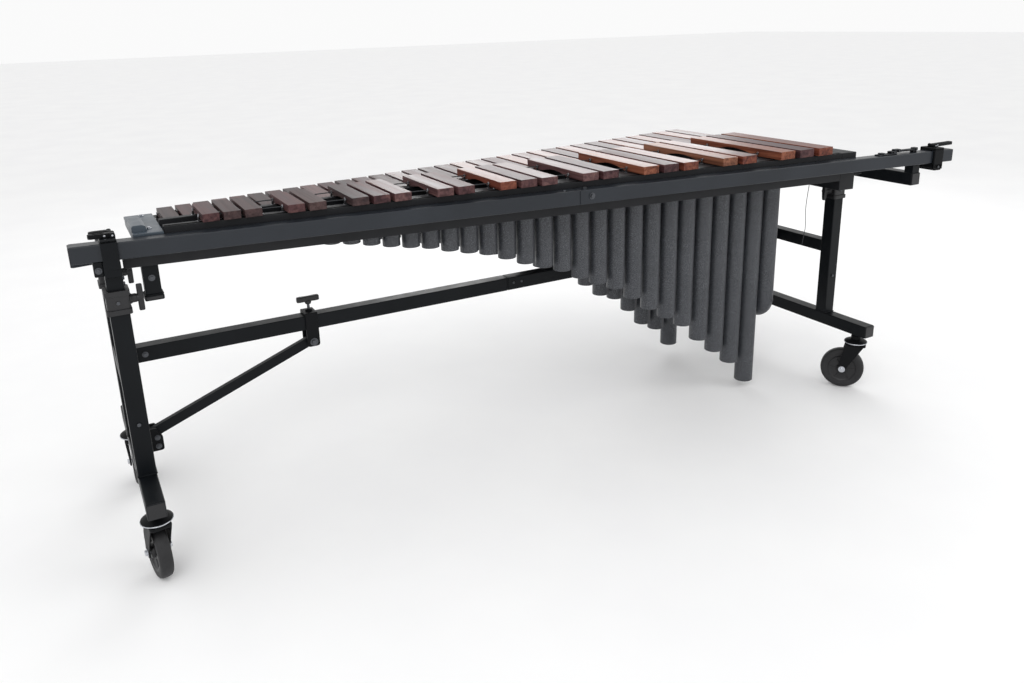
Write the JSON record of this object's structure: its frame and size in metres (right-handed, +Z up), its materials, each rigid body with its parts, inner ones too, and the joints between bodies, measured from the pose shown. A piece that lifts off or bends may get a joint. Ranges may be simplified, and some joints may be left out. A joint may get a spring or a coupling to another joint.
{
  "type": "concert marimba on a rolling height-adjustable frame",
  "caption": "Low-range concert marimba with wooden bars on two cord-strung rows, tuned metal tube resonators, a braced rolling frame with clamped height masts and swivel casters.",
  "frame": {"origin": "centre of the bounding box, on the floor", "axes": "+X along the keyboard towards the bass end, +Y from the audience side to the player's side, +Z up"},
  "size_m": [2.78, 1.039, 0.9163],
  "materials": {
    "black_paint": "semi-gloss blue-black box tube",
    "grey_casting": "grey cast metal, satin",
    "tube_coat": "dark grey speckled hammered coat",
    "board_black": "satin black painted board",
    "treble_wood": "dark grey-brown rosewood, lacquered",
    "bass_wood": "orange-red rosewood, lacquered",
    "steel": "bright zinc",
    "tyre_rubber": "black tyre",
    "black_plastic": "black moulded",
    "string_grey": "braided grey cord"
  },
  "bodies": {
    "rolling_base": {"foot_beam_treble": "black_paint", "foot_beam_bass": "black_paint", "upright_treble_near": "black_paint", "upright_treble_far": "black_paint", "upright_bass_near": "black_paint", "upright_bass_far": "black_paint", "crossbar_treble": "black_paint", "crossbar_bass": "black_paint", "stretcher_treble": "black_paint", "stretcher_bass": "black_paint", "collar_treble_near": "black_plastic", "collar_treble_far": "black_plastic", "collar_bass_near": "black_plastic", "collar_bass_far": "black_plastic", "brace_foot_bracket": "black_paint"},
    "keyboard": {"near_rail_treble": "black_paint", "near_rail_bass": "black_paint", "far_rail_treble": "black_paint", "far_rail_bass": "black_paint", "accidental_rail_outer": "board_black", "accidental_rail_inner": "board_black", "natural_rail_inner": "board_black", "natural_rail_outer": "board_black", "treble_end_casting": "grey_casting", "bass_end_board": "board_black", "accidental_bars_treble": "treble_wood", "accidental_bars_bass": "bass_wood", "natural_bars_treble": "treble_wood", "natural_bars_bass": "bass_wood", "accidental_resonators_treble": "tube_coat", "accidental_resonators_bass": "tube_coat", "natural_resonators_treble": "tube_coat", "natural_resonators_bass": "tube_coat", "treble_mast_frame": "black_paint", "bass_mast_frame": "black_paint", "bass_clamp_near": "black_paint", "bass_clamp_far": "black_paint", "bass_overhang_beam": "black_paint", "treble_rest_foot": "black_paint", "hanging_cord_end": "string_grey"},
    "fork_treble_near": {"caster_fork_treble_near": "black_paint"},
    "wheel_treble_near": {"caster_wheel_treble_near": "tyre_rubber"},
    "fork_treble_far": {"caster_fork_treble_far": "black_paint"},
    "wheel_treble_far": {"caster_wheel_treble_far": "tyre_rubber"},
    "fork_bass_near": {"caster_fork_bass_near": "black_paint"},
    "wheel_bass_near": {"caster_wheel_bass_near": "tyre_rubber"},
    "fork_bass_far": {"caster_fork_bass_far": "black_paint"},
    "wheel_bass_far": {"caster_wheel_bass_far": "tyre_rubber"},
    "screw_treble_near": {"collar_screw_treble_near": "black_plastic"},
    "screw_treble_far": {"collar_screw_treble_far": "black_plastic"},
    "screw_bass_near": {"collar_screw_bass_near": "black_plastic"},
    "screw_bass_far": {"collar_screw_bass_far": "black_plastic"},
    "treble_cam_near": {"treble_lever_near": "black_paint"},
    "treble_cam_far": {"treble_lever_far": "black_paint"},
    "bass_cam_near": {"bass_lever_near": "black_paint"},
    "bass_cam_far": {"bass_lever_far": "black_paint"},
    "brace_holder": {"brace_clamp": "black_paint", "brace_pivot_bolt": "steel"},
    "brace_screw": {"brace_clamp_screw": "black_plastic"},
    "brace_arm": {"diagonal_brace": "black_paint"}
  },
  "joints": [
    {"name": "keyboard_height", "type": "slide", "parent": "rolling_base", "child": "keyboard", "axis": [0, 0, 1], "range_m": [0, 0.12]},
    {"name": "swivel_treble_near", "type": "hinge", "parent": "rolling_base", "child": "fork_treble_near", "pos_m": [-1.304, -0.3, 0.2], "axis": [0, 0, 1], "continuous": true},
    {"name": "roll_treble_near", "type": "hinge", "parent": "fork_treble_near", "child": "wheel_treble_near", "pos_m": [-1.30994, -0.26247, 0.075], "axis": [-0.9877, -0.1564, 0], "continuous": true},
    {"name": "swivel_treble_far", "type": "hinge", "parent": "rolling_base", "child": "fork_treble_far", "pos_m": [-1.304, 0.225, 0.2], "axis": [0, 0, 1], "continuous": true},
    {"name": "roll_treble_far", "type": "hinge", "parent": "fork_treble_far", "child": "wheel_treble_far", "pos_m": [-1.30003, 0.26279, 0.075], "axis": [-0.9945, 0.1045, 0], "continuous": true},
    {"name": "swivel_bass_near", "type": "hinge", "parent": "rolling_base", "child": "fork_bass_near", "pos_m": [1.082, -0.418, 0.2], "axis": [0, 0, 1], "continuous": true},
    {"name": "roll_bass_near", "type": "hinge", "parent": "fork_bass_near", "child": "wheel_bass_near", "pos_m": [1.05861, -0.38806, 0.075], "axis": [-0.788, -0.6157, 0], "continuous": true},
    {"name": "swivel_bass_far", "type": "hinge", "parent": "rolling_base", "child": "fork_bass_far", "pos_m": [1.082, 0.42, 0.2], "axis": [0, 0, 1], "continuous": true},
    {"name": "roll_bass_far", "type": "hinge", "parent": "fork_bass_far", "child": "wheel_bass_far", "pos_m": [1.11274, 0.44234, 0.075], "axis": [-0.5878, 0.809, 0], "continuous": true},
    {"name": "collar_screw_turn_treble_near", "type": "hinge", "parent": "rolling_base", "child": "screw_treble_near", "pos_m": [-1.269, -0.187, 0.722], "axis": [1, 0, 0], "continuous": true},
    {"name": "collar_screw_turn_treble_far", "type": "hinge", "parent": "rolling_base", "child": "screw_treble_far", "pos_m": [-1.269, 0.072, 0.722], "axis": [1, 0, 0], "continuous": true},
    {"name": "collar_screw_turn_bass_near", "type": "hinge", "parent": "rolling_base", "child": "screw_bass_near", "pos_m": [1.047, -0.266, 0.722], "axis": [1, 0, 0], "continuous": true},
    {"name": "collar_screw_turn_bass_far", "type": "hinge", "parent": "rolling_base", "child": "screw_bass_far", "pos_m": [1.047, 0.27, 0.722], "axis": [1, 0, 0], "continuous": true},
    {"name": "treble_lever_near_swing", "type": "hinge", "parent": "keyboard", "child": "treble_cam_near", "pos_m": [-1.292, -0.19837, 0.88765], "axis": [0, 1, 0], "range_deg": [0, 100]},
    {"name": "treble_lever_far_swing", "type": "hinge", "parent": "keyboard", "child": "treble_cam_far", "pos_m": [-1.286, 0.07511, 0.83565], "axis": [0, 1, 0], "range_deg": [0, 100]},
    {"name": "bass_lever_near_swing", "type": "hinge", "parent": "keyboard", "child": "bass_cam_near", "pos_m": [1.288, -0.48708, 0.88765], "axis": [0, -1, 0], "range_deg": [0, 100]},
    {"name": "bass_lever_far_swing", "type": "hinge", "parent": "keyboard", "child": "bass_cam_far", "pos_m": [1.253, 0.48071, 0.81765], "axis": [0, -1, 0], "range_deg": [0, 100]},
    {"name": "brace_clamp_slide", "type": "slide", "parent": "rolling_base", "child": "brace_holder", "axis": [1, 0, 0], "range_m": [0, 0.03]},
    {"name": "brace_swing", "type": "hinge", "parent": "brace_holder", "child": "brace_arm", "pos_m": [-0.797, 0.0075, 0.45], "axis": [0, 1, 0], "range_deg": [0, 20]},
    {"name": "brace_screw_turn", "type": "hinge", "parent": "brace_holder", "child": "brace_screw", "pos_m": [-0.797, 0.0075, 0.56], "axis": [0, 0, 1], "continuous": true}
  ]
}
